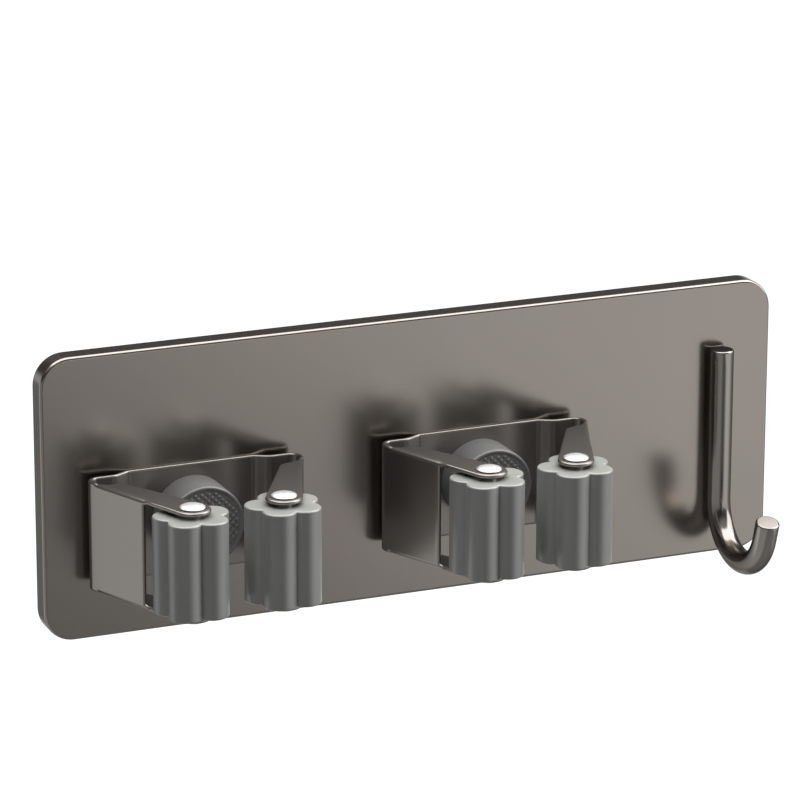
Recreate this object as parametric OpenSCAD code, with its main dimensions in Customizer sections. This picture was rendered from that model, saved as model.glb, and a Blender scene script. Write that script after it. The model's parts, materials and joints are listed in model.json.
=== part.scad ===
// Wall rack for mops and brooms: a shallow steel pan stuck to the wall, two spring clips
// with rubber rollers, and one J-shaped hook. Millimetres, +Z up, +X to the right seen from
// the room, -Y out of the wall. The origin is the centre of the face that meets the wall.

/* [Wall plate] */
// Width of the plate
plate_w = 218; // [200:1:300]
// Height of the plate
plate_h = 80; // [66:1:120]
// Depth of the plate's folded rim, front face to rear edge
plate_depth = 6.4; // [5:0.1:12]
// Thickness of the plate's sheet
plate_sheet = 1.2; // [0.8:0.1:2]
// Radius of the plate's four corners, seen from the front
plate_corner_r = 8.5; // [4:0.5:20]

/* [Adhesive back] */
// Thickness of the adhesive sheet
adhesive_t = 1.2; // [0.8:0.1:2]
// Height of the adhesive above the rim's rear edge
adhesive_proud = 0.4; // [0.2:0.1:0.6]
// Margin from the rim's inside to the adhesive's edge
adhesive_margin = 2; // [1:0.5:8]

/* [Spring clips] */
// Left edge of the plate to the centre of the left clip
clip_margin = 42.1; // [40:0.1:50]
// Distance between the two clip centres
clip_pitch = 85.3; // [76:0.1:100]
// Drop from the plate's centre to the clips' centre
clip_drop = 8.6; // [0:0.1:12]
// Height of the clip's spring strip
strip_h = 30.8; // [24:0.1:36]
// Thickness of the spring strip
strip_t = 1.2; // [1:0.1:1.5]
// Width of the flat that sits on the plate
back_flat_w = 36.4; // [30:0.1:44]
// Width of the joggle that lifts the strip off the plate
joggle_run = 4.3; // [3:0.1:6]
// Height of the joggle
joggle_rise = 2.25; // [1.5:0.05:4]
// Outside radius of the end bend
bend_r = 3.5; // [3:0.1:5]
// Lean of each arm towards the clip's centre
arm_lean = 22; // [15:1:25]
// How far each arm springs outwards
arm_open = 20; // [5:1:24]
// End bend to the roller rivet, along the arm
rivet_reach = 34.74; // [28:0.01:44]
// Radius of the flange's round end
flange_end_r = 5; // [4:0.1:6]
// End bend to the flange's rear corner, along the arm
flange_rear = 2; // [1:0.1:4]
// End bend to the flange's shoulder, along the arm
shoulder_reach = 7; // [5:0.1:10]
// Width of the flange at its shoulder
shoulder_w = 6.4; // [4:0.1:8]

/* [Rollers] */
// Radius of the roller over its lobes
roller_r = 10.7; // [8.5:0.1:13]
// Radius of one lobe
lobe_r = 4.6; // [4.2:0.1:6.5]
// Number of lobes
lobe_count = 5; // [5:1:7]
// Gap between the two rollers of a clip
roller_nip = 4.45; // [2:0.05:8]
// Gap between a roller and the end of its arm's web
roller_web_gap = 3.75; // [1:0.05:6]
// Gap between the roller's ends and the flanges
roller_end_gap = 0.8; // [0.3:0.1:1.2]
// Turn of each clip's left roller
left_roller_turn = 15; // [0:1:72]
// Turn of each clip's right roller
right_roller_turn = 22; // [0:1:72]

/* [Rivets] */
// Radius of the roller rivet's shank
rivet_r = 2; // [1.5:0.1:2.4]
// Radius of the roller rivet's domed heads
rivet_head_r = 3.5; // [2.8:0.1:4]
// Height of the roller rivet's domed heads
rivet_head_h = 1; // [0.8:0.1:2]
// Radius of the fixing rivet's shank
fixing_r = 2; // [1.5:0.1:2.4]
// Radius of the fixing rivet's head and of its spread tail
fixing_head_r = 3.5; // [3:0.1:4]
// Height of the fixing rivet's head and of its spread tail
fixing_head_h = 1; // [0.6:0.1:1.6]

/* [Bumper] */
// Radius of the rubber bumper
bumper_r = 11.3; // [8:0.1:13]
// Height of the bumper above the strip
bumper_l = 11.4; // [8:0.1:14]
// Rise of the bumper and its fixing rivet above the strip's centre
bumper_rise = 0.7; // [0:0.1:2]

/* [Hook] */
// Radius of the hook's rod
rod_r = 3.4; // [2.5:0.1:4]
// Right edge of the plate to the hook's centre line
hook_margin = 16.5; // [12:0.1:30]
// Height of the hook's top above the plate's centre
hook_top = 21.6; // [10:0.1:30]
// Straight length of the hook's shank
shank_l = 43.8; // [30:0.1:48]
// Bend radius of the rod's centre line
hook_bend_r = 14.7; // [10:0.1:20]
// Bend of the hook
hook_bend = 163; // [120:1:180]
// Straight length of the hook's tip
tip_l = 6.3; // [3:0.1:12]
// Chamfer on the rod's two ends
rod_chamfer = 0.6; // [0.2:0.1:0.8]
// Depth of the flat by which the rod is welded to the plate
weld_flat = 0.15; // [0.1:0.05:0.4]

/* [Hidden] */
$fn = 96;
// Radial clearance of a roller on its rivet, and between the two halves of an end bend
running_clearance = 0.05;
// Radial clearance of a rivet in the sheets that it joins
rivet_clearance = 0.05;
// Clearance round a piece that lies loose in a recess
recess_clearance = 0.3;
// Angle left free at each end of the arm's travel
travel_margin = 2;
// Angle by which an arm's outer shell runs on inside its web, so that the two are one
seam_overlap = 3;
// Length by which the hook's tip runs back inside its bend
seam_l = 0.3;
// Step between a round and the straight that runs into it, so that the two cross and never just touch
seam_step = 0.02;
// Least corner radius of a sheet that lies inside the plate's rim
least_corner_r = 0.5;
// Length by which a cut runs past the solid
overrun = 1;

plate_front = -adhesive_proud - plate_depth;
recess_depth = plate_depth - plate_sheet;
adhesive_sunk = adhesive_t - adhesive_proud;
clip_xs = [clip_margin - plate_w / 2, clip_margin - plate_w / 2 + clip_pitch];
hook_x = plate_w / 2 - hook_margin;
rod_y = plate_front - rod_r + weld_flat;

// The end bends lie as far apart as the arms need to hold their rollers at the nip
rivet_inset = rivet_reach * sin(arm_lean) + (flange_end_r - bend_r) * cos(arm_lean);
bend_x = roller_nip / 2 + roller_r + rivet_inset;
// Length of the arm's upright web, from the end bend to short of the roller
web_l = rivet_reach - sqrt(pow(roller_r + roller_web_gap, 2) - pow(flange_end_r - strip_t, 2));

// Each end bend turns from the stand-off round to the arm. Its two half-thickness shells
// lap, so that the arm can swing outwards about the bend's own axis.
bend_y = -joggle_rise - bend_r;
bend_angle = 90 + arm_lean;
inner_lap_r = bend_r - (strip_t + running_clearance) / 2;
outer_lap_r = inner_lap_r + running_clearance;
lap_gap = arm_open + travel_margin;

roller_h = strip_h - 2 * (strip_t + roller_end_gap);
bore_r = rivet_r + running_clearance;
rivet_hole_r = rivet_r + rivet_clearance;
fixing_hole_r = fixing_r + rivet_clearance;
tail_room_r = fixing_head_r + recess_clearance;
cavity_l = fixing_head_h + recess_clearance;

CLIPS = ["left_clip", "right_clip"];
SIDES = ["left", "right"];
CLIP_PIECES = ["base", "bumper", "fixing_rivet"];
SIDE_PIECES = ["arm", "roller", "rivet"];

// A rectangle with four round corners, centred
module rounded_rect(w, h, r) {
    square([w - 2 * r, h], center = true);
    square([w, h - 2 * r], center = true);
    for (sx = [-1, 1]) {
        for (sy = [-1, 1]) {
            translate([sx * (w / 2 - r), sy * (h / 2 - r)]) circle(r);
        }
    }
}

// A rounded sheet parallel to the wall: front is its distance from the rim's rear edge
module wall_sheet(inset, front, t) {
    translate([0, -adhesive_proud - front + t, 0])
        rotate([90, 0, 0])
            linear_extrude(t)
                rounded_rect(
                    plate_w - 2 * inset,
                    plate_h - 2 * inset,
                    max(plate_corner_r - inset, least_corner_r)
                );
}

// A round bar square to the wall on each fixing rivet's axis, from y_near out to y_far
module at_fixings(r, y_near, y_far) {
    for (x = clip_xs) {
        translate([x, y_near, bumper_rise - clip_drop]) rotate([90, 0, 0]) cylinder(r = r, h = y_near - y_far);
    }
}

// Moves children from a clip's own frame, centred on the plate's face, to clip number c
module at_clip(c) {
    translate([clip_xs[c], plate_front, -clip_drop]) children();
}

// Children are drawn for a left arm, and mirrored for a right one
module on_side(s) {
    mirror([s, 0, 0]) children();
}

// Part of a cylindrical shell as tall as the strip, about the left end bend's axis
module bend_shell(r_in, r_out, from, to) {
    translate([-bend_x, bend_y, 0])
        rotate([0, 0, 90 + from])
            rotate_extrude(angle = to - from)
                translate([r_in, -strip_h / 2])
                    square([r_out - r_in, strip_h]);
}

// The left arm's frame: x runs along the arm from the end bend, y goes in from its outer face
module along_arm() {
    translate([-bend_x - bend_r * cos(arm_lean), bend_y - bend_r * sin(arm_lean), 0])
        rotate([0, 0, arm_lean - 90])
            children();
}

// Moves children to the left arm's rivet axis, in the along_arm frame's directions
module at_rivet() {
    along_arm() translate([rivet_reach, flange_end_r, 0]) children();
}

// One face of the strip, seen from above, offset from the face that meets the plate
function strip_line(offset_y) = [
    [-bend_x, -joggle_rise - offset_y],
    [-back_flat_w / 2 - joggle_run, -joggle_rise - offset_y],
    [-back_flat_w / 2, -offset_y],
    [back_flat_w / 2, -offset_y],
    [back_flat_w / 2 + joggle_run, -joggle_rise - offset_y],
    [bend_x, -joggle_rise - offset_y]
];

function reversed(list) = [for (i = [len(list) - 1:-1:0]) list[i]];

// Where the line from point p touches the circle about c, on the side away from the web
function touch_point(p, c, r) =
    let (d = c - p, turn = atan2(d.y, d.x) + asin(r / norm(d)), run = sqrt(d * d - r * r))
    p + run * [cos(turn), sin(turn)];

// Outline of an arm's flange in the along_arm frame, apart from its round end
function flange_outline() =
    let (shoulder = [shoulder_reach, shoulder_w], centre = [rivet_reach, flange_end_r])
    [
        [flange_rear, seam_step],
        [rivet_reach, seam_step],
        centre,
        touch_point(shoulder, centre, flange_end_r - seam_step),
        shoulder
    ];

// A shallow domed head that stands on z = 0
module domed_head(r, h) {
    dome_r = (r * r + h * h) / (2 * h);
    intersection() {
        translate([0, 0, h - dome_r]) sphere(dome_r);
        cylinder(r = r, h = h);
    }
}

// Shallow steel pan, open towards the wall, with a hole for each fixing rivet
module wall_plate() {
    color("dimgray")
        difference() {
            wall_sheet(0, plate_depth, plate_depth);
            wall_sheet(plate_sheet, recess_depth, recess_depth + overrun);
            at_fixings(fixing_hole_r, plate_front + plate_depth, plate_front - overrun);
        }
}

// Foam board that fills the pan, with room for the fixing rivets' tails
module backing_board() {
    color("darkslategray")
        difference() {
            wall_sheet(plate_sheet + recess_clearance, recess_depth, recess_depth - adhesive_sunk);
            at_fixings(tail_room_r, 0, plate_front - overrun);
        }
}

// Double-sided adhesive sheet behind the board
module adhesive_sheet() {
    color("whitesmoke")
        wall_sheet(plate_sheet + adhesive_margin, adhesive_sunk, adhesive_t);
}

// A round bar that stands on z = 0, with its far end chamfered
module rod_end(r, l) {
    cylinder(r = r, h = l - rod_chamfer);
    translate([0, 0, l - rod_chamfer]) cylinder(r1 = r, r2 = r - rod_chamfer, h = rod_chamfer);
}

// Bent rod, with a flat along the shank where it is welded to the plate
module j_hook() {
    color("gray")
        difference() {
            translate([hook_x, rod_y - hook_bend_r, hook_top - shank_l])
                rotate([-90, 0, 90]) {
                    translate([hook_bend_r, 0, 0]) rotate([90, 0, 0]) rod_end(rod_r, shank_l);
                    rotate_extrude(angle = hook_bend) translate([hook_bend_r, 0]) circle(rod_r);
                    rotate([0, 0, hook_bend])
                        translate([hook_bend_r, -seam_l, 0])
                            rotate([-90, 0, 0])
                                rod_end(rod_r - seam_step, tip_l + seam_l);
                }
            translate([hook_x - rod_r, plate_front, hook_top - shank_l - hook_bend_r])
                cube([2 * rod_r, rod_r, shank_l + hook_bend_r + overrun]);
        }
}

// Middle of the spring strip, out to the inner shell of each end bend
module base(c) {
    color("slategray")
        at_clip(c)
            difference() {
                union() {
                    linear_extrude(strip_h, center = true)
                        polygon(concat(strip_line(0), reversed(strip_line(strip_t))));
                    for (s = [0, 1]) {
                        on_side(s) bend_shell(bend_r - strip_t, inner_lap_r, 0, bend_angle - lap_gap);
                    }
                }
                translate([0, overrun, bumper_rise])
                    rotate([90, 0, 0])
                        cylinder(r = fixing_hole_r, h = strip_t + 2 * overrun);
            }
}

// One arm of the spring strip: outer shell of the end bend, web, and two flanges
module arm(c, s) {
    color("lightslategray")
        at_clip(c)
            on_side(s) {
                bend_shell(outer_lap_r, bend_r, lap_gap, bend_angle + seam_overlap);
                along_arm()
                    difference() {
                        union() {
                            translate([0, seam_step, -strip_h / 2])
                                cube([web_l, strip_t - seam_step, strip_h]);
                            for (z = [-strip_h / 2, strip_h / 2 - strip_t]) {
                                translate([0, 0, z])
                                    linear_extrude(strip_t) {
                                        polygon(flange_outline());
                                        translate([rivet_reach, flange_end_r]) circle(flange_end_r);
                                    }
                            }
                        }
                        translate([rivet_reach, flange_end_r, 0])
                            cylinder(r = rivet_hole_r, h = strip_h + 2 * overrun, center = true);
                    }
            }
}

// Rubber roller with round lobes about a core, turning on its rivet
module roller(c, s) {
    turn = s == 0 ? left_roller_turn : 180 - right_roller_turn;
    color("darkseagreen")
        at_clip(c)
            on_side(s)
                at_rivet()
                    rotate([0, 0, turn + 90 - arm_lean])
                        linear_extrude(roller_h, center = true)
                            difference() {
                                union() {
                                    circle(roller_r - lobe_r);
                                    for (i = [0:lobe_count - 1]) {
                                        rotate(i * 360 / lobe_count)
                                            translate([roller_r - lobe_r, 0])
                                                circle(lobe_r);
                                    }
                                }
                                circle(bore_r);
                            }
}

// Rivet with two domed heads that holds a roller between an arm's flanges
module rivet(c, s) {
    color("white")
        at_clip(c)
            on_side(s)
                at_rivet() {
                    cylinder(r = rivet_r, h = strip_h, center = true);
                    for (m = [0, 1]) {
                        mirror([0, 0, m])
                            translate([0, 0, strip_h / 2])
                                domed_head(rivet_head_r, rivet_head_h);
                    }
                }
}

// Round rubber bumper that a pushed-in handle stops against, hollow over the rivet's head
module bumper(c) {
    color("darkgray")
        at_clip(c)
            translate([0, -strip_t, bumper_rise])
                rotate([90, 0, 0])
                    difference() {
                        cylinder(r = bumper_r, h = bumper_l);
                        translate([0, 0, -overrun]) cylinder(r = tail_room_r, h = cavity_l + overrun);
                    }
}

// Rivet that holds the strip to the plate: head under the bumper, tail inside the pan
module fixing_rivet(c) {
    grip = strip_t + plate_sheet;
    color("silver")
        at_clip(c)
            translate([0, plate_sheet, bumper_rise])
                rotate([90, 0, 0]) {
                    cylinder(r = fixing_r, h = grip);
                    translate([0, 0, grip]) cylinder(r = fixing_head_r, h = fixing_head_h);
                    translate([0, 0, -fixing_head_h]) cylinder(r = fixing_head_r, h = fixing_head_h);
                }
}

wall_plate();
backing_board();
adhesive_sheet();
j_hook();
for (c = [0, 1]) {
    base(c);
    bumper(c);
    fixing_rivet(c);
    for (s = [0, 1]) {
        arm(c, s);
        roller(c, s);
        rivet(c, s);
    }
}
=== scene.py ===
"""Looks of a wall rack for mops and brooms: a satin gun-metal pan, two spring clips that hold
lobed rubber rollers, and a polished J hook. Shapes are worked out in millimetres, in the frame of
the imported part, and become metres when their meshes are made."""

import json
import math

import bmesh
import bpy
import numpy as np
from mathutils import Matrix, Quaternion, Vector


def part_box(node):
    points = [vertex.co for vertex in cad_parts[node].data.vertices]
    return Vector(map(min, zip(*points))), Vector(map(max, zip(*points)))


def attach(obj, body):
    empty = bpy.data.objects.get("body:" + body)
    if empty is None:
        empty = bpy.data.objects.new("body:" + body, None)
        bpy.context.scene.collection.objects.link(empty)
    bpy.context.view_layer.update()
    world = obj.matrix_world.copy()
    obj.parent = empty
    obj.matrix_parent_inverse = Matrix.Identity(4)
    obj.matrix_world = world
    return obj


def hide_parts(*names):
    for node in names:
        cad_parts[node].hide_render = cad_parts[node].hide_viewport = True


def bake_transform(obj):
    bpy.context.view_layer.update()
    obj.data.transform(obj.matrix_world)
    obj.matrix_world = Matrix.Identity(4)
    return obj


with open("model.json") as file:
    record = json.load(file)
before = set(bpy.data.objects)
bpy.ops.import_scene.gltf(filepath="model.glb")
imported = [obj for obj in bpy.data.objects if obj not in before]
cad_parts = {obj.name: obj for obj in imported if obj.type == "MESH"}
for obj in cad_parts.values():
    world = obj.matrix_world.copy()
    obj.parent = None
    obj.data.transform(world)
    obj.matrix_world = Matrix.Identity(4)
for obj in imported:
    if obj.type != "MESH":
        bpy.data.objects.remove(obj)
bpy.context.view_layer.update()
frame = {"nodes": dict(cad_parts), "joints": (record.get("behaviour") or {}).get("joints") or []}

MM = 0.001

# Sizes shared with the frame, in millimetres
PLATE_SHEET = 1.2
PLATE_CORNER_R = 8.5
STRIP_T = 1.2
BACK_FLAT_W = 36.4
JOGGLE_RUN = 4.3
JOGGLE_RISE = 2.25
BEND_R = 3.5
ARM_LEAN = math.radians(22)
WEB_L = 20.8
FLANGE_END_R = 5.0
FLANGE_REAR = 2.0
SHOULDER = np.array([7.0, 6.4])
ROLLER_R = 10.7
LOBE_R = 4.6
LOBE_COUNT = 5
LOBE_TURN = {"left": math.radians(15), "right": math.radians(22)}
BORE_R = 2.05
RIVET_R = 2.0
RIVET_HEAD_R = 3.5
BUMPER_CAVITY_R = 3.8
BUMPER_CAVITY_L = 1.3
ROD_R = 3.4
HOOK_BEND_R = 14.7
HOOK_BEND = math.radians(163)
HOOK_TIP_L = 6.3
WELD_FLAT = 0.15
BOARD_CORNER_R = 7.0
ADHESIVE_CORNER_R = 5.3

# Small rounds and reliefs that catch the light, in millimetres
PLATE_EDGE_R = 0.8
LIP_R = 0.35
PAN_INSIDE_R = 0.8
FOLD_R = 0.65
JOGGLE_SOFT = 0.8
SHOULDER_SOFT = 0.25
ROLLER_RIM_R = 0.5
LOBE_VALLEY = 0.08
BUMPER_RIM_R = 0.6
BUMPER_SINK = 0.3
RIVET_GAP = 0.2
KNURL_PITCH = 1.4
KNURL_H = 0.3
ROD_END_R = 0.6
SHEET_EDGE_R = 0.4

# How far from a round the line of points lies that keeps the flat beside it flat, in millimetres
EDGE_SUPPORT = 0.05

# Power by which a rivet's dome falls off
DOME_POWER = 2.4

# How the strip's points are shared out: places across the web as shares of the way from its middle to
# an open edge, the power that crowds points towards one edge, and the width in half thicknesses below
# which the rounds of two edges draw together
WEB_SHARES = (0, 0.3, 0.6, 0.85, 0.96)
CROWD_POWER = 1.6
ROUND_ROOM = 2.2

# Counts of points along and round the pieces
EDGE_STEPS = 6
CROSS_STEPS = 9
BASE_STEPS = 600
BEND_STEPS = 300
FLAT_ROWS = 6
JOGGLE_ROWS = 26
BEND_ROWS = 30
SHOULDER_ROWS = 40
FLANGE_STEPS = 16
TIP_STEPS = 22
DOME_STEPS = 14
ROLLER_STEPS = 180
BUMPER_STEPS = 420
BUMPER_RINGS = 66
SHANK_STEPS = 12
HOOK_BEND_STEPS = 60
HOOK_TIP_STEPS = 4
ROD_STEPS = 48

# Distance within which two points are one, in millimetres, and the angle above which an edge is sharp
WELD = 1e-4
SHARP = math.radians(50)

CLIPS = ("left_clip", "right_clip")
SIDES = ("left", "right")


def box(node):
    """Lowest and highest corner of a node at rest, in millimetres."""
    low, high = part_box(node)
    return np.array(low) / MM, np.array(high) / MM


def joint_at(name):
    """Point on a joint's axis, in millimetres."""
    found = next(j for j in frame["joints"] if j["name"] == name)
    return np.array(found["pos_m"]) / MM


def smooth_step(x):
    """0 below 0, 1 above 1, and 3x^2 - 2x^3 between."""
    x = np.clip(x, 0, 1)
    return x * x * (3 - 2 * x)


def arc(centre_u, centre_v, radius, start, end, steps=7):
    """Points of a circle's arc in a profile's plane, from one angle to another in degrees."""
    a = np.radians(np.linspace(start, end, steps))
    return np.stack([centre_u + radius * np.cos(a), centre_v + radius * np.sin(a)], axis=-1)


def grid_faces(rows, columns, wrap_rows=False, wrap_columns=False):
    """Quads between the neighbours of a grid; a wrapped direction joins its last line to its first."""
    index = np.arange(rows * columns).reshape(rows, columns)
    if wrap_rows:
        index = np.concatenate([index, index[:1]])
    if wrap_columns:
        index = np.concatenate([index, index[:, :1]], axis=1)
    corners = [index[:-1, :-1], index[1:, :-1], index[1:, 1:], index[:-1, 1:]]
    return np.stack(corners, axis=-1).reshape(-1, 4)


def grid_patch(points, wrap_rows=False, wrap_columns=False, caps=False):
    """Points and faces of a grid of shape rows x columns x 3. Caps close its first and last row."""
    rows, columns = points.shape[:2]
    faces = grid_faces(rows, columns, wrap_rows, wrap_columns).tolist()
    if caps:
        faces.append(list(range(columns))[::-1])
        faces.append(list(range((rows - 1) * columns, rows * columns)))
    return points.reshape(-1, 3), faces


def make_piece(name, patches, material):
    """One smooth mesh at the origin from patches of points and faces. Points that fall together are
    merged, which closes seams and poles, and the faces are then turned outwards."""
    points = np.concatenate([p for p, _ in patches])
    starts = np.cumsum([0] + [len(p) for p, _ in patches])
    faces = [[i + start for i in face] for start, (_, part) in zip(starts, patches) for face in part]
    mesh = bpy.data.meshes.new(name)
    mesh.from_pydata((points * MM).tolist(), [], faces)
    shape = bmesh.new()
    shape.from_mesh(mesh)
    bmesh.ops.remove_doubles(shape, verts=shape.verts, dist=WELD * MM)
    bmesh.ops.dissolve_degenerate(shape, edges=shape.edges, dist=WELD * MM)
    bmesh.ops.recalc_face_normals(shape, faces=shape.faces)
    shape.to_mesh(mesh)
    shape.free()
    mesh.shade_smooth()
    mesh.set_sharp_from_angle(angle=SHARP)
    mesh.materials.append(material)
    made = bpy.data.objects.new(name, mesh)
    bpy.context.scene.collection.objects.link(made)
    return made


# Materials

# Repeats of each pattern in a metre
TONE_SCALE = 18.0
GRAIN_SCALE = 2200.0
MARK_SCALE = 1500.0
RUBBER_TONE_SCALE = 60.0
SKIN_SCALE = 2000.0
CELL_SCALE = 1600.0
FIBRE_SCALE = 700.0

# Finishes: the darkest and lightest tone, and the least and most roughness. Each range of roughness is
# narrow, because a wider one shows thin dark contour lines.
PLATE_FINISH = {
    "dark": (0.298, 0.27, 0.247),
    "light": (0.308, 0.279, 0.255),
    "gloss": (0.202, 0.222),
    "metallic": 1.0,
    "edge": 0.5,
}
SPRING_FINISH = {
    "dark": (0.265, 0.245, 0.226),
    "light": (0.275, 0.254, 0.235),
    "gloss": (0.23, 0.255),
    "metallic": 0.78,
    "edge": 0.5,
}
HOOK_FINISH = {
    "dark": (0.29, 0.268, 0.248),
    "light": (0.31, 0.287, 0.266),
    "gloss": (0.165, 0.19),
    "metallic": 0.95,
    "edge": 0.3,
}
RIVET_FINISH = {"dark": (0.72, 0.715, 0.7), "light": (0.8, 0.795, 0.785), "gloss": (0.405, 0.46)}
ROLLER_FINISH = {"dark": (0.31, 0.313, 0.292), "light": (0.335, 0.338, 0.316), "gloss": (0.275, 0.325)}
BUMPER_FINISH = {"dark": (0.175, 0.173, 0.165), "light": (0.195, 0.193, 0.185), "gloss": (0.405, 0.46)}
FOAM_FINISH = {"dark": (0.03, 0.03, 0.032), "light": (0.075, 0.075, 0.08)}
LINER_FINISH = {"dark": (0.76, 0.75, 0.715), "light": (0.81, 0.8, 0.77), "gloss": (0.405, 0.46)}
CUT_ROUGH = 0.5


def new_material(name):
    """An empty node material: its tree, its Principled shader, and its Object coordinates."""
    material = bpy.data.materials.new(name)
    material.use_nodes = True
    nodes = material.node_tree.nodes
    place = nodes.new("ShaderNodeTexCoord").outputs["Object"]
    return material, material.node_tree, nodes["Principled BSDF"], place


def noise(tree, place, scale, detail=3.0):
    """Fractal noise on Object coordinates."""
    texture = tree.nodes.new("ShaderNodeTexNoise")
    texture.inputs["Scale"].default_value = scale
    texture.inputs["Detail"].default_value = detail
    tree.links.new(place, texture.inputs["Vector"])
    return texture.outputs["Fac"]


def spread(tree, value, low, high, start=0.3, end=0.7):
    """Spreads a value from start..end to low..high."""
    node = tree.nodes.new("ShaderNodeMapRange")
    node.inputs["From Min"].default_value = start
    node.inputs["From Max"].default_value = end
    node.inputs["To Min"].default_value = low
    node.inputs["To Max"].default_value = high
    tree.links.new(value, node.inputs["Value"])
    return node.outputs["Result"]


def calculate(tree, operation, *values):
    """One step of arithmetic on values."""
    node = tree.nodes.new("ShaderNodeMath")
    node.operation = operation
    for value, socket in zip(values, node.inputs):
        tree.links.new(value, socket)
    return node.outputs["Value"]


def tint(tree, value, dark, light, start=0.3, end=0.7):
    """A colour between dark and light, by a value from start to end."""
    ramp = tree.nodes.new("ShaderNodeValToRGB")
    ramp.color_ramp.elements[0].position = start
    ramp.color_ramp.elements[0].color = (*dark, 1)
    ramp.color_ramp.elements[1].position = end
    ramp.color_ramp.elements[1].color = (*light, 1)
    tree.links.new(value, ramp.inputs["Fac"])
    return ramp.outputs["Color"]


def bump(tree, value, depth, strength=1.0):
    """Surface relief of that depth in metres."""
    node = tree.nodes.new("ShaderNodeBump")
    node.inputs["Strength"].default_value = strength
    node.inputs["Distance"].default_value = depth
    tree.links.new(value, node.inputs["Height"])
    return node.outputs["Normal"]


def gun_metal(name, dark, light, gloss, metallic, edge, cut=None):
    """Dark plated steel: a fine satin grain, and slow changes of tone. Less than fully metallic,
    its plating also scatters some light. The edge darkens what it mirrors at a glancing angle.
    Round the point of a cut, as far as the rod's end face reaches, the grain is coarser."""
    material, tree, shader, place = new_material(name)
    cloud = noise(tree, place, TONE_SCALE)
    grain = noise(tree, place, GRAIN_SCALE, detail=2.0)
    shader.inputs["Metallic"].default_value = metallic
    shader.inputs["Specular Tint"].default_value = (edge, edge, edge, 1)
    tree.links.new(tint(tree, cloud, dark, light), shader.inputs["Base Color"])
    rough = spread(tree, grain, *gloss)
    if cut is not None:
        away = tree.nodes.new("ShaderNodeVectorMath")
        away.operation = "DISTANCE"
        away.inputs[1].default_value = cut
        tree.links.new(place, away.inputs[0])
        face_r = (ROD_R - ROD_END_R) * MM
        sawn = spread(tree, away.outputs["Value"], CUT_ROUGH, 0.0, face_r, face_r + LIP_R * MM)
        rough = calculate(tree, "MAXIMUM", rough, sawn)
    tree.links.new(rough, shader.inputs["Roughness"])
    return material


def polished_steel(name, dark, light, gloss):
    """Bright rivet steel with faint polishing marks."""
    material, tree, shader, place = new_material(name)
    marks = noise(tree, place, MARK_SCALE)
    shader.inputs["Metallic"].default_value = 1.0
    tree.links.new(tint(tree, marks, dark, light), shader.inputs["Base Color"])
    tree.links.new(spread(tree, marks, *gloss), shader.inputs["Roughness"])
    return material


def rubber(name, dark, light, gloss):
    """Moulded rubber: a satin skin of very low relief, with slow changes of tone."""
    material, tree, shader, place = new_material(name)
    cloud = noise(tree, place, RUBBER_TONE_SCALE)
    tree.links.new(tint(tree, cloud, dark, light), shader.inputs["Base Color"])
    skin = noise(tree, place, SKIN_SCALE, detail=2.0)
    tree.links.new(spread(tree, skin, *gloss), shader.inputs["Roughness"])
    tree.links.new(bump(tree, skin, depth=1e-5, strength=0.3), shader.inputs["Normal"])
    shader.inputs["Specular IOR Level"].default_value = 1.0
    return material


def foam(name, dark, light):
    """Closed-cell foam: round cells over a dark grey. Each cell is darker towards its sunken middle, which
    is painted shade in the hollow; the cell pattern itself is the foam's own.
    """
    material, tree, shader, place = new_material(name)
    cells = tree.nodes.new("ShaderNodeTexVoronoi")
    cells.inputs["Scale"].default_value = CELL_SCALE
    tree.links.new(place, cells.inputs["Vector"])
    wall = cells.outputs["Distance"]
    # Painted shade: the colour darkens towards each cell's middle, where the relief sinks, and lightens at
    # the raised walls
    tree.links.new(tint(tree, wall, dark, light, start=0, end=0.8), shader.inputs["Base Color"])
    tree.links.new(bump(tree, wall, depth=2e-4, strength=0.8), shader.inputs["Normal"])
    shader.inputs["Roughness"].default_value = 0.9
    return material


def liner(name, dark, light, gloss):
    """Waxed paper on the adhesive: off-white, with a faint mottle and a low sheen."""
    material, tree, shader, place = new_material(name)
    fibre = noise(tree, place, FIBRE_SCALE, detail=6.0)
    tree.links.new(tint(tree, fibre, dark, light), shader.inputs["Base Color"])
    tree.links.new(spread(tree, fibre, *gloss), shader.inputs["Roughness"])
    tree.links.new(bump(tree, fibre, depth=4e-5, strength=0.4), shader.inputs["Normal"])
    return material


PLATE_STEEL = gun_metal("plate_steel", **PLATE_FINISH)
SPRING_STEEL = gun_metal("spring_steel", **SPRING_FINISH)
RIVET_STEEL = polished_steel("polished_steel", **RIVET_FINISH)
ROLLER_RUBBER = rubber("roller_rubber", **ROLLER_FINISH)
BUMPER_RUBBER = rubber("bumper_rubber", **BUMPER_FINISH)
FOAM = foam("foam_board", **FOAM_FINISH)
LINER = liner("adhesive_liner", **LINER_FINISH)


# Wall plate, foam board and adhesive


def round_outline(half_w, half_h, radius, steps=12):
    """Closed loop of a rectangle with round corners: four quarter circles about the corner centres."""
    turn = np.linspace(0, math.pi / 2, steps)
    angles = (np.arange(4)[:, None] * math.pi / 2 + turn).ravel()
    corners = np.array([[1, 1], [-1, 1], [-1, -1], [1, -1]]) * [half_w - radius, half_h - radius]
    return np.repeat(corners, steps, axis=0) + radius * np.stack([np.cos(angles), np.sin(angles)], axis=-1)


def sheet_solid(half_w, half_h, corner_r, profile):
    """A rounded rectangle whose outline is set in and moved along Y as a profile of (inset, y) says."""
    rings = [
        np.insert(round_outline(half_w - inset, half_h - inset, corner_r - inset), 1, y, axis=1)
        for inset, y in profile
    ]
    return grid_patch(np.stack(rings), wrap_columns=True, caps=True)


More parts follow.
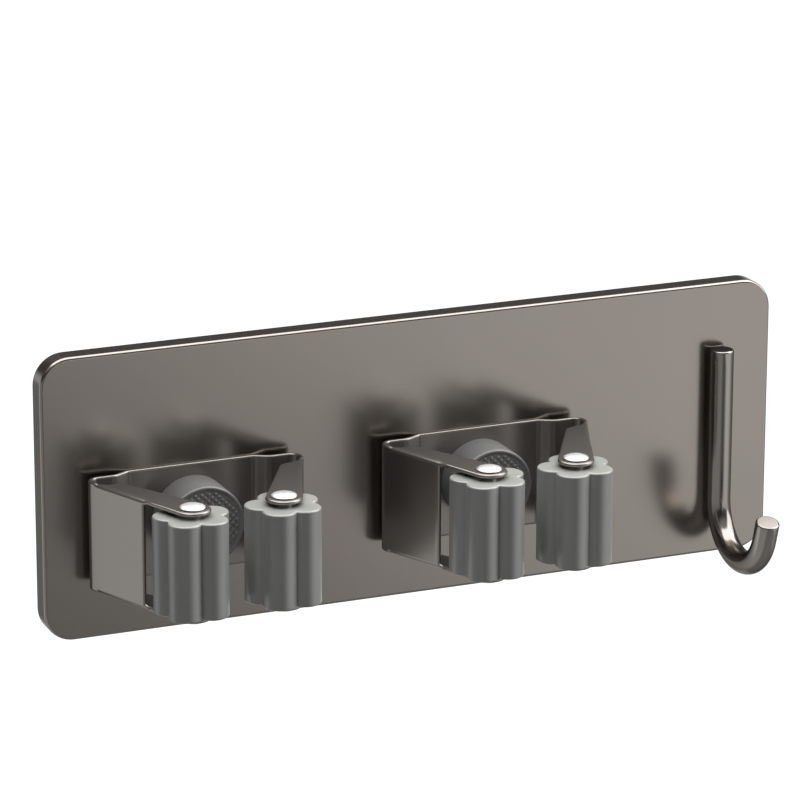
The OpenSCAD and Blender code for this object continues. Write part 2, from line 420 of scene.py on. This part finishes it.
def make_wall_plate():
    """Pan of folded sheet: flat front, round front edge, rim, rounded rear lip, and the inside."""
    low, high = box("wall_plate")
    front, rear = low[1], high[1]
    flat = 2 * PLATE_EDGE_R
    inside = PLATE_SHEET + PAN_INSIDE_R
    profile = np.concatenate([
        [[flat, front], [PLATE_EDGE_R + EDGE_SUPPORT, front]],
        arc(PLATE_EDGE_R, front + PLATE_EDGE_R, PLATE_EDGE_R, 270, 180),
        [[0, front + PLATE_EDGE_R + EDGE_SUPPORT], [0, rear - LIP_R - EDGE_SUPPORT]],
        arc(LIP_R, rear - LIP_R, LIP_R, 180, 90, 4),
        arc(PLATE_SHEET - LIP_R, rear - LIP_R, LIP_R, 90, 0, 4),
        [[PLATE_SHEET, rear - LIP_R - EDGE_SUPPORT]],
        arc(inside, front + inside, PAN_INSIDE_R, 180, 270, 4),
        [[inside + flat, front + PLATE_SHEET]],
    ])
    half_w, half_h = (high[0] - low[0]) / 2, (high[2] - low[2]) / 2
    pan = sheet_solid(half_w, half_h, PLATE_CORNER_R, profile)
    plate = make_piece("wall_plate_pan", [pan], PLATE_STEEL)
    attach(plate, "rack")
    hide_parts("wall_plate")


def make_back_sheet(name, node, corner_r, material):
    """A soft-edged sheet in a node's own box, from its front face round to its rear face."""
    low, high = box(node)
    flat, edge_r = 3 * SHEET_EDGE_R, SHEET_EDGE_R
    profile = np.concatenate([
        [[flat, low[1]]],
        arc(edge_r, low[1] + edge_r, edge_r, 270, 180, 5),
        arc(edge_r, high[1] - edge_r, edge_r, 180, 90, 5),
        [[flat, high[1]]],
    ])
    half_w, half_h = (high[0] - low[0]) / 2, (high[2] - low[2]) / 2
    sheet = make_piece(name, [sheet_solid(half_w, half_h, corner_r, profile)], material)
    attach(sheet, "rack")
    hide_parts(node)
    return sheet


# Spring clips


class Strip:
    """The left half of one clip's spring strip, as a flat blank that is bent and folded. Places are
    measured from the clip's middle, on the plate's front.

    A point of the blank is (s, t): s runs along the strip and is 0 where the end bend meets the arm,
    t runs across it from the middle. The blank's edge lies at t = edge(s), and the arm's flanges are
    the parts of it beyond the fold."""

    def __init__(self, bend_axis, rivet_axis, height):
        self.half_t = STRIP_T / 2
        self.half_h = height / 2
        self.bend_x = -bend_axis[0]
        self.bend_y = bend_axis[1]
        # Places of the lines of points on a round edge, from the edge inwards
        self.near = self.half_t * (1 - np.cos(np.linspace(0, math.pi / 2, EDGE_STEPS)))
        # The fold's arc runs from t = fold_start to fold_end; an open edge lies at t = open_edge
        self.fold_start = self.half_h - self.half_t - FOLD_R
        self.fold_end = self.fold_start + FOLD_R * math.pi / 2
        self.open_edge = self.fold_end - FOLD_R - self.half_t
        away = rivet_axis - bend_axis
        along = np.array([math.sin(ARM_LEAN), -math.cos(ARM_LEAN)])
        self.rivet_reach = float(away[:2] @ along)
        self.tip = np.array([self.rivet_reach, FLANGE_END_R])
        self.lay_path()
        self.lay_flange()

    def lay_path(self):
        """Middle line of the strip seen from above: flat, S-shaped joggle, stand-off and end bend."""
        out = np.linspace(0, self.bend_x, BASE_STEPS)
        rise = smooth_step((out - BACK_FLAT_W / 2 + JOGGLE_SOFT) / (JOGGLE_RUN + 2 * JOGGLE_SOFT))
        base = np.stack([-out, -self.half_t - JOGGLE_RISE * rise], axis=-1)
        turn = np.linspace(0, math.pi / 2 + ARM_LEAN, BEND_STEPS)[1:]
        bend_r = BEND_R - self.half_t
        bend = np.stack([-self.bend_x - bend_r * np.sin(turn), self.bend_y + bend_r * np.cos(turn)], axis=-1)
        self.line = np.concatenate([base, bend])
        steps = np.linalg.norm(np.diff(self.line, axis=0), axis=1)
        self.along = np.concatenate([[0], np.cumsum(steps)])
        self.along -= self.along[-1]
        self.bend_l = bend_r * (math.pi / 2 + ARM_LEAN)

    def lay_flange(self):
        """The flange's inner edge runs from its shoulder straight to a touch on its round end."""
        away = self.tip - SHOULDER
        far = np.linalg.norm(away)
        self.edge_turn = math.atan2(away[1], away[0]) + math.asin(FLANGE_END_R / far)
        run = math.sqrt(far**2 - FLANGE_END_R**2)
        self.touch = SHOULDER + run * np.array([math.cos(self.edge_turn), math.sin(self.edge_turn)])

    def flange_width(self, s):
        """Width of the flange from the arm's outer face: a slant up to the shoulder, then the inner edge."""
        slant = (s - FLANGE_REAR) * SHOULDER[1] / (SHOULDER[0] - FLANGE_REAR)
        inner = SHOULDER[1] + (s - SHOULDER[0]) * math.tan(self.edge_turn)
        lower = np.minimum(slant, inner)
        return lower - SHOULDER_SOFT * np.log1p(np.exp(-np.abs(slant - inner) / SHOULDER_SOFT))

    def edge(self, s):
        """Where the blank ends: at the strip's own height, or at the flange's inner edge if further."""
        flange = self.open_edge + self.flange_width(s)
        further = np.maximum(flange, self.half_h)
        return further + SHOULDER_SOFT * np.log1p(np.exp(-np.abs(flange - self.half_h) / SHOULDER_SOFT))

    def across(self, width):
        """Distances from an edge of the blank across to the other: close together near both edges,
        where the sheet is rounded, and near the fold."""
        share = np.linspace(0, 1, CROSS_STEPS)[1:-1] ** CROWD_POWER
        span = np.minimum(1, width / (ROUND_ROOM * self.half_t))[..., None]
        first = self.near * span
        last = width[..., None] - first[..., ::-1]
        middle = first[..., -1:] + (last[..., :1] - first[..., -1:]) * share
        return np.concatenate([first, middle, last], axis=-1)

    def body_grid(self):
        """Blank points from the clip's centre to the web's end, from the lower edge to the upper one."""
        joggle_end = -self.bend_l - (self.bend_x - BACK_FLAT_W / 2 - JOGGLE_RUN)
        s = np.concatenate([
            np.linspace(self.along[0], joggle_end - 2 * JOGGLE_RUN, FLAT_ROWS)[:-1],
            np.linspace(joggle_end - 2 * JOGGLE_RUN, joggle_end + JOGGLE_RUN / 2, JOGGLE_ROWS),
            np.linspace(-self.bend_l, 0, BEND_ROWS),
            np.linspace(0, 2 * SHOULDER[0], SHOULDER_ROWS)[1:],
            np.linspace(2 * SHOULDER[0], WEB_L - self.half_t, FLAT_ROWS)[1:-1],
            WEB_L - self.near[::-1],
        ])
        web = self.open_edge * np.array(WEB_SHARES)
        web = np.broadcast_to(web, (len(s), len(web)))
        upper = np.concatenate([web, self.open_edge + self.across(self.edge(s) - self.open_edge)], axis=1)
        t = np.concatenate([-upper[:, :0:-1], upper], axis=1)
        return np.broadcast_to(s[:, None], t.shape), t

    def flange_grid(self):
        """Blank points of the upper flange from the web's end to its round tip, on chords from the
        outer edge to the inner one."""
        share = np.linspace(0, 1, FLANGE_STEPS)[:, None]
        outer = np.array([WEB_L, 0]) + share * np.array([self.rivet_reach - WEB_L, 0])
        start = np.array([WEB_L, self.flange_width(np.array(WEB_L))])
        inner = start + share * (self.touch - start)
        side = math.degrees(self.edge_turn) + 90
        end = (side - 90) / 2
        outer_round = arc(*self.tip, FLANGE_END_R, -90, end, TIP_STEPS)[1:]
        inner_round = arc(*self.tip, FLANGE_END_R, side, end, TIP_STEPS)[1:]
        outer = np.concatenate([outer, outer_round])
        inner = np.concatenate([inner, inner_round])
        width = np.linalg.norm(inner - outer, axis=1)
        share = self.across(width) / np.maximum(width, WELD)[:, None]
        chord = outer[:, None] + share[..., None] * (inner - outer)[:, None]
        self.rim = np.concatenate([inner, outer[::-1]])
        return chord[..., 0], chord[..., 1] + self.open_edge

    def edge_distance(self, s, t, outline):
        """Distance from each blank point to the nearest piece of the outline."""
        points = np.stack([s, np.abs(t)], axis=-1).reshape(-1, 1, 2)
        start, step = outline[:-1], np.diff(outline, axis=0)
        share = ((points - start) * step).sum(-1) / np.maximum((step * step).sum(-1), WELD**2)
        nearest = start + np.clip(share, 0, 1)[..., None] * step
        return np.linalg.norm(points - nearest, axis=-1).min(axis=1).reshape(s.shape)

    def place(self, s, t):
        """Point and inward normal of the bent strip's middle surface. The fold turns the blank through
        a quarter circle at t = fold_start; past the web's end the flange is flat out to its edge."""
        up, t = np.where(t < 0, -1.0, 1.0), np.abs(t)
        line_x = np.interp(s, self.along, self.line[:, 0])
        line_y = np.interp(s, self.along, self.line[:, 1])
        slope = np.gradient(self.line, self.along, axis=0)
        in_x, in_y = -np.interp(s, self.along, slope[:, 1]), np.interp(s, self.along, slope[:, 0])
        arm_s = np.maximum(s, 0)
        fold = math.pi / 2 * smooth_step((s - FLANGE_REAR / 2) / FLANGE_REAR)
        turn = np.clip((t - self.fold_start) / FOLD_R, 0, fold)
        beyond = np.maximum(t - self.fold_start - FOLD_R * turn, 0)
        inward = FOLD_R * (1 - np.cos(turn)) + beyond * np.sin(turn)
        height = np.minimum(t, self.fold_start) + FOLD_R * np.sin(turn) + beyond * np.cos(turn)
        flat = smooth_step((s - WEB_L) / (2 * STRIP_T))
        inward += flat * (FOLD_R + t - self.fold_end - inward)
        height += flat * (self.fold_start + FOLD_R - height)
        turn += flat * (math.pi / 2 - turn)
        x = line_x + arm_s * math.sin(ARM_LEAN) + in_x * inward
        y = line_y - arm_s * math.cos(ARM_LEAN) + in_y * inward
        point = np.stack([x, y, up * height], axis=-1)
        normal = np.stack([in_x * np.cos(turn), in_y * np.cos(turn), -up * np.sin(turn)], axis=-1)
        return point, normal

    def patches(self):
        """Both faces of the sheet, half a thickness either side of its middle surface. The thickness
        falls to nothing along a quarter circle at the outline, so the edges are round."""
        body_s, body_t = self.body_grid()
        flange_s, flange_t = self.flange_grid()
        rim = self.rim + [0, self.open_edge]
        top = np.stack([body_s[:, 0], self.edge(body_s[:, 0])], axis=-1)
        outline = np.concatenate([top, rim, [[WEB_L, 0]]])
        made = []
        for s, t in ((body_s, body_t), (flange_s, flange_t), (flange_s, -flange_t)):
            inside = np.minimum(self.edge_distance(s, t, outline) / self.half_t, 1)
            half = self.half_t * np.sqrt(1 - (1 - inside) ** 2)[..., None]
            point, normal = self.place(s, t)
            made += [grid_patch(point + half * normal), grid_patch(point - half * normal)]
            if s is body_s:
                ends = np.stack([(point + half * normal)[0], (point - half * normal)[0]])
                made.append(grid_patch(ends))
        return made


def make_half_strip(clip, side, plate_front):
    """One half of a clip's strip: the back from the clip's middle, its end bend, and the arm with its
    flanges.
    """
    bend_axis = joint_at(f"{clip}_{side}_arm_flex")
    other = joint_at(f"{clip}_{SIDES[1 - SIDES.index(side)]}_arm_flex")
    rivet_axis = joint_at(f"{clip}_{side}_roller_spin")
    centre_x = (bend_axis[0] + other[0]) / 2
    hand = 1 if side == "left" else -1
    mirrored = [hand, 1, 1]
    low, high = box(f"{clip}_base")
    centre = np.array([centre_x, plate_front, bend_axis[2]])
    strip = Strip((bend_axis - centre) * mirrored, (rivet_axis - centre) * mirrored, high[2] - low[2])
    patches = [(points * mirrored + centre, faces) for points, faces in strip.patches()]
    half = make_piece(f"{clip}_{side}_strip", patches, SPRING_STEEL)
    bend_end = bend_axis - [0, BEND_R * math.sin(ARM_LEAN), 0]
    bend_end[0] = centre_x
    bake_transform(half)
    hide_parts(f"{clip}_base", f"{clip}_{side}_arm")


def turned(axis, profile, steps=64):
    """Surface of revolution about a vertical axis from a profile of (radius, z)."""
    angle = np.linspace(0, 2 * math.pi, steps, endpoint=False)
    radius, z = profile[:, :1], profile[:, 1:]
    x = axis[0] + radius * np.cos(angle)
    y = axis[1] + radius * np.sin(angle)
    return grid_patch(np.stack([x, y, np.broadcast_to(z, x.shape)], axis=-1), wrap_columns=True)


def make_rivet(clip, side):
    """Rivet with a shank and two domed heads. A head's height falls off as a rounded power of its
    radius, and its edge stands a little off the flange."""
    axis = joint_at(f"{clip}_{side}_roller_spin")
    low, high = box(f"{clip}_{side}_rivet")
    arm_low, arm_high = box(f"{clip}_{side}_arm")
    radius = RIVET_HEAD_R * np.sin(np.linspace(0, math.pi / 2, DOME_STEPS))
    dome = np.sqrt(1 - (radius / RIVET_HEAD_R) ** DOME_POWER)
    rise = RIVET_GAP + (high[2] - arm_high[2] - RIVET_GAP) * dome
    neck_r = RIVET_HEAD_R - 2 * RIVET_GAP
    upper = np.stack([radius, arm_high[2] + rise], axis=-1)
    lower = np.stack([radius, arm_low[2] - rise], axis=-1)
    shank = np.array([
        [neck_r, arm_high[2]], [RIVET_R, arm_high[2]], [RIVET_R, arm_low[2]], [neck_r, arm_low[2]]
    ])
    profile = np.concatenate([upper, shank, lower[::-1]])
    rivet = make_piece(f"{clip}_{side}_rivet_domed", [turned(axis, profile)], RIVET_STEEL)
    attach(rivet, f"{clip}_{side}_arm")
    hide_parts(f"{clip}_{side}_rivet")


def lobed_radius(angle, inset):
    """Polar radius of the roller's outline, set in: the furthest of five lobe circles, where the
    valley between two of them is softened by a logarithm of the sum of exponentials."""
    centre = ROLLER_R - LOBE_R
    turn = angle[:, None] - 2 * math.pi * np.arange(LOBE_COUNT) / LOBE_COUNT
    chord = (LOBE_R - inset) ** 2 - (centre * np.sin(turn)) ** 2
    reach = centre * np.cos(turn) + np.sqrt(np.maximum(chord, 0))
    return LOBE_VALLEY * np.log(np.exp(reach / LOBE_VALLEY).sum(axis=1))


def make_roller(clip, side):
    """Lobed rubber roller: bore, flat ends with round rims, and straight flutes."""
    node = f"{clip}_{side}_roller"
    axis = joint_at(f"{node}_spin")
    low, high = box(node)
    angle = np.linspace(0, 2 * math.pi, ROLLER_STEPS, endpoint=False)
    rim = ROLLER_RIM_R
    upper = np.concatenate([
        [[2 * rim, high[2]], [rim + EDGE_SUPPORT, high[2]]],
        arc(rim, high[2] - rim, rim, 90, 180, 8),
        [[0, high[2] - rim - EDGE_SUPPORT]],
    ])
    lower = upper[::-1] * [1, -1] + [0, low[2] + high[2]]
    side_rings = np.concatenate([upper, lower])
    radius = np.stack([lobed_radius(angle, inset) for inset in side_rings[:, 0]])
    z = side_rings[:, 1]
    bore = np.array([
        [BORE_R + LIP_R, low[2]],
        [BORE_R, low[2] + LIP_R],
        [BORE_R, high[2] - LIP_R],
        [BORE_R + LIP_R, high[2]],
    ])
    radius = np.concatenate([radius, np.broadcast_to(bore[:, :1], (len(bore), len(angle)))])
    z = np.concatenate([z, bore[:, 1]])
    turn = angle + LOBE_TURN[side]
    points = np.stack([
        axis[0] + radius * np.cos(turn),
        axis[1] + radius * np.sin(turn),
        np.broadcast_to(z[:, None], radius.shape),
    ], axis=-1)
    patch = grid_patch(points, wrap_rows=True, wrap_columns=True)
    roller = make_piece(f"{node}_fluted", [patch], ROLLER_RUBBER)
    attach(roller, node)
    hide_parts(node)


def make_bumper(clip):
    """Round rubber stop: a hollow back, straight side, round rim, and a sunk face of studs.
    The studs are the product of two raised cosines along the face's diagonals."""
    node = f"{clip}_bumper"
    low, high = box(node)
    centre, radius = (low + high) / 2, (high[0] - low[0]) / 2
    front, back = low[1], high[1]
    angle = np.linspace(0, 2 * math.pi, BUMPER_STEPS, endpoint=False)
    face_r = radius - 2 * BUMPER_RIM_R
    side = np.concatenate([
        [[0, back - BUMPER_CAVITY_L], [BUMPER_CAVITY_R, back - BUMPER_CAVITY_L], [BUMPER_CAVITY_R, back]],
        arc(radius - LIP_R, back - LIP_R, LIP_R, 90, 0, 4),
        arc(radius - BUMPER_RIM_R, front + BUMPER_RIM_R, BUMPER_RIM_R, 0, -120, 12),
    ])
    face = np.linspace(face_r, 0, BUMPER_RINGS)
    wall = np.array([[face_r, front + BUMPER_SINK]])
    profile = np.concatenate([side, wall])
    ring_r = np.concatenate([profile[:, 0], face])[:, None]
    x, z = ring_r * np.cos(angle), ring_r * np.sin(angle)
    ring_y = np.concatenate([profile[:, 1], np.full(len(face), front + BUMPER_SINK)])[:, None]
    turn_u = math.sqrt(2) * math.pi * (x + z) / KNURL_PITCH
    turn_v = math.sqrt(2) * math.pi * (x - z) / KNURL_PITCH
    stud = (1 + np.cos(turn_u)) * (1 + np.cos(turn_v)) / 4
    on_face = (np.arange(len(ring_r)) >= len(profile))[:, None]
    fade = smooth_step((face_r - ring_r) / KNURL_PITCH * 2) * on_face
    y = ring_y - KNURL_H * stud * fade
    points = np.stack([centre[0] + x, y, centre[2] + z], axis=-1)
    patch = grid_patch(points, wrap_columns=True)
    bumper = make_piece(f"{node}_knurled", [patch], BUMPER_RUBBER)
    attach(bumper, "rack")
    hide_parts(node)


# Hook


def make_hook(plate_front):
    """Bent rod: a circle carried along a straight shank, an arc and a straight tip, with rounded ends
    and a flat where it meets the plate."""
    low, high = box("j_hook")
    x = (low[0] + high[0]) / 2
    top = high[2]
    bend_z = low[2] + HOOK_BEND_R + ROD_R
    shank_y = plate_front - ROD_R + WELD_FLAT
    turn = np.linspace(0, HOOK_BEND, HOOK_BEND_STEPS)
    end = np.linspace(0, math.pi / 2, EDGE_STEPS)
    cap = ROD_END_R * (1 - np.cos(end))
    shrink = ROD_END_R * (1 - np.sin(end))
    shank_z = np.linspace(top - ROD_END_R, bend_z, SHANK_STEPS)
    shank = np.stack([np.full(SHANK_STEPS, shank_y), shank_z], axis=-1)[:-1]
    bend = np.stack([
        shank_y - HOOK_BEND_R + HOOK_BEND_R * np.cos(turn),
        bend_z - HOOK_BEND_R * np.sin(turn),
    ], axis=-1)
    out = np.array([-math.sin(HOOK_BEND), -math.cos(HOOK_BEND)])
    tip = bend[-1] + np.linspace(0, HOOK_TIP_L - ROD_END_R, HOOK_TIP_STEPS)[1:, None] * out
    first = np.stack([np.full(EDGE_STEPS, shank_y), top - cap], axis=-1)[:-1]
    last = (bend[-1] + (HOOK_TIP_L - cap[::-1])[:, None] * out)[1:]
    line = np.concatenate([first, shank, bend, tip, last])
    middle = np.full(len(shank) + len(bend) + len(tip), ROD_R)
    radius = np.concatenate([ROD_R - shrink[:-1], middle, (ROD_R - shrink[::-1])[1:]])
    heading = np.concatenate([
        np.tile([0.0, -1.0], (len(first) + len(shank), 1)),
        np.stack([-np.sin(turn), -np.cos(turn)], axis=-1),
        np.tile(out, (len(tip) + len(last), 1)),
    ])
    angle = np.linspace(0, 2 * math.pi, ROD_STEPS, endpoint=False)
    across = radius[:, None] * np.cos(angle)
    aside = radius[:, None] * np.sin(angle)
    points = np.stack([
        x + across,
        np.minimum(line[:, :1] + aside * heading[:, 1:], plate_front),
        line[:, 1:] - aside * heading[:, :1],
    ], axis=-1)
    steel = gun_metal("hook_steel", **HOOK_FINISH, cut=np.array([x, *last[-1]]) * MM)
    patch = grid_patch(points, wrap_columns=True, caps=True)
    hook = make_piece("j_hook_rod", [patch], steel)
    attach(hook, "rack")
    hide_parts("j_hook")


plate_front = box("wall_plate")[0][1]
make_wall_plate()
board = make_back_sheet("backing_foam", "backing_board", BOARD_CORNER_R, FOAM)
make_back_sheet("adhesive_liner", "adhesive_sheet", ADHESIVE_CORNER_R, LINER)
for clip in CLIPS:
    make_bumper(clip)
    fixing_finish = frame["nodes"][f"{clip}_fixing_rivet"].data.materials
    fixing_finish.clear()
    fixing_finish.append(RIVET_STEEL)
    for side in SIDES:
        make_half_strip(clip, side, plate_front)
        make_rivet(clip, side)
        make_roller(clip, side)
make_hook(plate_front)


# Studio, in metres

FLOOR_Z = -0.9
FLOOR_R = 12.0
FLOOR_STEPS = 96

# Greys of the studio, where white is 1
FLOOR_SHADE = 0.25
DIM_SHADE = 0.12
FRONT_SHADE = 1.0
RIGHT_SHADE = 0.3
FRONT_SLANT = 1.18
LEFT_SHADE = 0.4
UPPER_SHADE = 0.1
HIGH_SHADE = 0.4
FILL_LEVEL = 0.12

# Where one grey fades to the next, as parts of a direction of length 1
SLANT_FADE = (-1.0, 0.0)
FRONT_FADE = (-0.121, 0.06)
RIGHT_FADE = (-0.5, -0.1)
LEFT_FRONT_FADE = (-0.35, -0.1)
LEFT_SIDE_FADE = (-0.8, -0.5)
LEFT_BACK_FADE = (-0.1, 0.25)
BEHIND_FADE = (0.45, 0.65)
BACK_RIGHT_FADE = (-0.25, 0.05)
BACK_UPPER_FADE = (-0.2, -0.08)
LOW_FADE = (0.02, 0.15)
HIGH_FADE = (0.4, 0.65)

CAMERA_AZIMUTH = math.radians(-22.86)
CAMERA_ELEVATION = math.radians(17.14)
CAMERA_ROLL = math.radians(0.13)
CAMERA_AIM = Vector((-4.84, -6.66, 16.99)) * MM
CAMERA_AWAY = 1.248
CAMERA_LENS = 203.7
CAMERA_SENSOR = 36.0


def studio_shade(tree, direction):
    """Grey of the studio by direction, as the metal shows it: white low at the back and the right, and
    at the back on the left; dim in front and below; dark above that, and grey overhead. The white at
    the front right fades along a slant, so that a mirror that faces the room is lighter at its top
    right."""
    split = tree.nodes.new("ShaderNodeSeparateXYZ")
    tree.links.new(direction, split.inputs["Vector"])
    x, y, z = split.outputs
    slant = calculate(tree, "ADD", x, spread(tree, z, -FRONT_SLANT, 0.0, *SLANT_FADE))
    front = spread(tree, slant, DIM_SHADE, FRONT_SHADE, *FRONT_FADE)
    front = calculate(tree, "MULTIPLY", front, spread(tree, y, 1.0, RIGHT_SHADE, *RIGHT_FADE))
    left_front = spread(tree, x, LEFT_SHADE, 0.0, *LEFT_FRONT_FADE)
    left_side = spread(tree, x, 1.0, 0.0, *LEFT_SIDE_FADE)
    left_back = calculate(tree, "MULTIPLY", left_side, spread(tree, y, 0.0, 1.0, *LEFT_BACK_FADE))
    behind = spread(tree, y, 0.0, 1.0, *BEHIND_FADE)
    right = spread(tree, x, 0.0, 1.0, *BACK_RIGHT_FADE)
    upper = spread(tree, z, 0.0, 1.0, *BACK_UPPER_FADE)
    clear = calculate(tree, "MAXIMUM", right, upper)
    back = calculate(tree, "MULTIPLY", behind, clear)
    sides = calculate(tree, "MAXIMUM", left_front, calculate(tree, "MAXIMUM", left_back, back))
    white = calculate(tree, "MAXIMUM", front, sides)
    low = spread(tree, z, 1.0, UPPER_SHADE, *LOW_FADE)
    high = spread(tree, z, 0.0, HIGH_SHADE, *HIGH_FADE)
    return calculate(tree, "MAXIMUM", calculate(tree, "MULTIPLY", white, low), high)


def studio_glow(tree, direction):
    """How brightly the surroundings show: white to the camera, and the studio's grey in metal and glass."""
    path = tree.nodes.new("ShaderNodeLightPath").outputs
    mirrored = calculate(tree, "MAXIMUM", path["Is Glossy Ray"], path["Is Transmission Ray"])
    shown = calculate(tree, "MULTIPLY", studio_shade(tree, direction), mirrored)
    return calculate(tree, "MAXIMUM", path["Is Camera Ray"], shown)


def make_floor():
    """A large pale disc far below the rack, which shows white to the camera, and grey in metal."""
    angle = np.linspace(0, 2 * math.pi, FLOOR_STEPS, endpoint=False)
    height = np.full(FLOOR_STEPS, FLOOR_Z)
    rim = np.stack([FLOOR_R * np.cos(angle), FLOOR_R * np.sin(angle), height], axis=-1)
    mesh = bpy.data.meshes.new("floor")
    mesh.from_pydata(rim.tolist(), [], [list(range(FLOOR_STEPS))])
    material, tree, shader, place = new_material("pale_floor")
    shader.inputs["Base Color"].default_value = (FLOOR_SHADE, FLOOR_SHADE, FLOOR_SHADE, 1)
    shader.inputs["Roughness"].default_value = 0.9
    unit = tree.nodes.new("ShaderNodeVectorMath")
    unit.operation = "NORMALIZE"
    tree.links.new(place, unit.inputs[0])
    shader.inputs["Emission Color"].default_value = (1, 1, 1, 1)
    tree.links.new(studio_glow(tree, unit.outputs["Vector"]), shader.inputs["Emission Strength"])
    mesh.materials.append(material)
    material.cycles.emission_sampling = "NONE"
    floor = bpy.data.objects.new("floor", mesh)
    bpy.context.scene.collection.objects.link(floor)


def make_world():
    """Soft studio surroundings: white to the camera, the studio's greys in metal, and a dim fill light."""
    world = bpy.data.worlds.new("studio")
    world.use_nodes = True
    tree = world.node_tree
    direction = tree.nodes.new("ShaderNodeTexCoord").outputs["Generated"]
    background = tree.nodes["Background"].inputs
    background["Color"].default_value = (1, 1, 1, 1)
    fill = spread(tree, studio_shade(tree, direction), 0.0, FILL_LEVEL, 0.0, 1.0)
    level = calculate(tree, "MAXIMUM", studio_glow(tree, direction), fill)
    tree.links.new(level, background["Strength"])
    world.cycles.sampling_method = "NONE"
    bpy.context.scene.world = world


def make_softbox(name, place, target, size, level):
    """A rectangular lamp that faces a point. Its level is how bright it looks, where white is 1."""
    lamp = bpy.data.lights.new(name, "AREA")
    lamp.shape = "RECTANGLE"
    lamp.size, lamp.size_y = size
    lamp.energy = level * math.pi * size[0] * size[1]
    made = bpy.data.objects.new(name, lamp)
    made.location = place
    made.rotation_mode = "QUATERNION"
    made.rotation_quaternion = (Vector(target) - Vector(place)).to_track_quat("-Z", "Y")
    bpy.context.scene.collection.objects.link(made)


def make_camera():
    """Camera at the photograph's angle: from the left and above, a long way off."""
    away = Vector((
        math.sin(CAMERA_AZIMUTH) * math.cos(CAMERA_ELEVATION),
        -math.cos(CAMERA_AZIMUTH) * math.cos(CAMERA_ELEVATION),
        math.sin(CAMERA_ELEVATION),
    ))
    data = bpy.data.cameras.new("camera")
    data.sensor_width, data.lens = CAMERA_SENSOR, CAMERA_LENS
    data.clip_start, data.clip_end = 0.05, 50.0
    camera = bpy.data.objects.new("camera", data)
    camera.location = CAMERA_AIM + away * CAMERA_AWAY
    camera.rotation_mode = "QUATERNION"
    roll = Quaternion((0, 0, 1), CAMERA_ROLL)
    camera.rotation_quaternion = (-away).to_track_quat("-Z", "Y") @ roll
    bpy.context.scene.collection.objects.link(camera)
    bpy.context.scene.camera = camera


make_floor()
make_world()
make_softbox("top_softbox", place=(0.3, 0.5, 1.3), target=(0.3, 0.5, 0), size=(2.4, 2.4), level=3.2)
make_softbox("right_softbox", place=(1.1, -0.24, 0.65), target=(0, -0.03, 0), size=(1.1, 1.3), level=3.0)
make_camera()
bpy.context.scene.view_settings.view_transform = "Standard"
